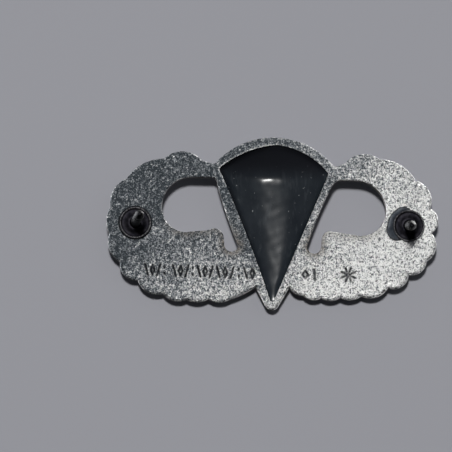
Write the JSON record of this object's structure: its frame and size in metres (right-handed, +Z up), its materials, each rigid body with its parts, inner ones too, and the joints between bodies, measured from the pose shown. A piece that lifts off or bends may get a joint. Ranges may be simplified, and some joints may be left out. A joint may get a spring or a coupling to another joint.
{
  "type": "parachutist wings badge",
  "caption": "Die-struck wings badge with an open canopy between two curled wings, hollow back and two pointed clutch posts.",
  "frame": {"origin": "midway between the axes of the two clutch posts, in the plane of the badge's flat back", "axes": "+Z up as worn, +X to the right of someone who looks at the decorated front, +Y out of the back along the posts; the front faces -Y"},
  "size_m": [0.0381, 0.0114, 0.0199],
  "materials": {
    "struck_silver": "granular die-struck silver back with rubbed edges, oxidised front",
    "dark_post": "tarnished near-black nickel, satin",
    "solder": "oxidised solder with a heat stain"
  },
  "bodies": {
    "root": {"badge_body": "struck_silver", "left_pad": "dark_post", "right_pad": "dark_post", "left_pin": "dark_post", "right_pin": "dark_post", "left_solder": "solder", "right_solder": "solder"}
  },
  "joints": []
}
